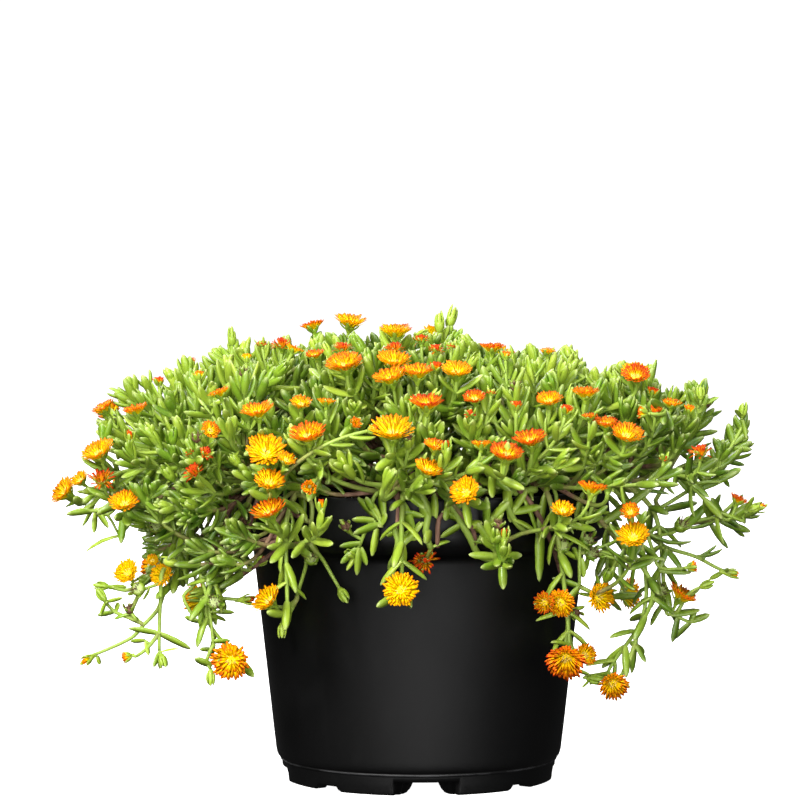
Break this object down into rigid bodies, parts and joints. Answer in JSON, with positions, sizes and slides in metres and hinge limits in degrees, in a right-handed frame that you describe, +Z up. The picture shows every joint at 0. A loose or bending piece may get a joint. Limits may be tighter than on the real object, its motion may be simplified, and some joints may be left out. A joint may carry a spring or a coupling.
{
  "type": "potted ice plant",
  "caption": "Potted ice plant: a spreading cushion of fleshy-leaved shoots with orange and yellow daisy-like flowers, some trailing over the rim of a round black nursery pot",
  "frame": {"origin": "centre of the pot's underside, on the surface the pot stands on, on the pot's axis", "axes": "+X to the viewer's right, along the plant's longest spread; +Y away from the viewer; +Z up, along the pot's axis"},
  "size_m": [0.5096, 0.4177, 0.3384],
  "materials": {
    "pot_plastic": "moulded polypropylene, satin black with a soft vertical sheen and fine flow marks",
    "soil": "dark moist potting mix with bark crumbs and pale perlite",
    "woody_stem": "thin brown to mauve bark with leaf scars",
    "leaf_green": "fleshy succulent skin, semi-matt, fresh green with paler tips and edges and fine pale dots",
    "petal_orange": "silky narrow petals, yellow at the base, orange along their length and red-orange at the tips"
  },
  "bodies": {
    "root": {"pot": "pot_plastic", "soil": "soil", "root_crown": "woody_stem", "shoot_01": "leaf_green", "shoot_02": "leaf_green", "shoot_03": "leaf_green", "shoot_04": "leaf_green", "shoot_05": "leaf_green", "shoot_06": "leaf_green", "shoot_07": "leaf_green", "shoot_08": "leaf_green", "shoot_09": "leaf_green", "shoot_10": "leaf_green", "shoot_11": "leaf_green", "shoot_12": "leaf_green", "shoot_13": "leaf_green", "shoot_14": "leaf_green", "shoot_15": "leaf_green", "shoot_16": "leaf_green", "shoot_17": "leaf_green", "shoot_18": "leaf_green", "shoot_19": "leaf_green", "shoot_20": "leaf_green", "shoot_21": "leaf_green", "shoot_22": "leaf_green", "shoot_23": "leaf_green", "shoot_24": "leaf_green", "shoot_25": "leaf_green", "shoot_26": "leaf_green", "shoot_27": "leaf_green", "shoot_28": "leaf_green", "flower_01": "petal_orange", "flower_02": "petal_orange", "flower_03": "petal_orange", "flower_04": "petal_orange", "flower_05": "petal_orange", "flower_06": "petal_orange", "flower_07": "petal_orange", "flower_08": "petal_orange", "flower_09": "petal_orange", "flower_10": "petal_orange", "flower_11": "petal_orange", "flower_12": "petal_orange", "flower_13": "petal_orange", "flower_14": "petal_orange", "flower_15": "petal_orange", "flower_16": "petal_orange", "flower_17": "petal_orange", "flower_18": "petal_orange", "flower_19": "petal_orange", "flower_20": "petal_orange", "flower_21": "petal_orange", "flower_22": "petal_orange", "flower_23": "petal_orange", "flower_24": "petal_orange", "flower_25": "petal_orange", "flower_26": "petal_orange", "flower_27": "petal_orange", "flower_28": "petal_orange"}
  },
  "joints": []
}
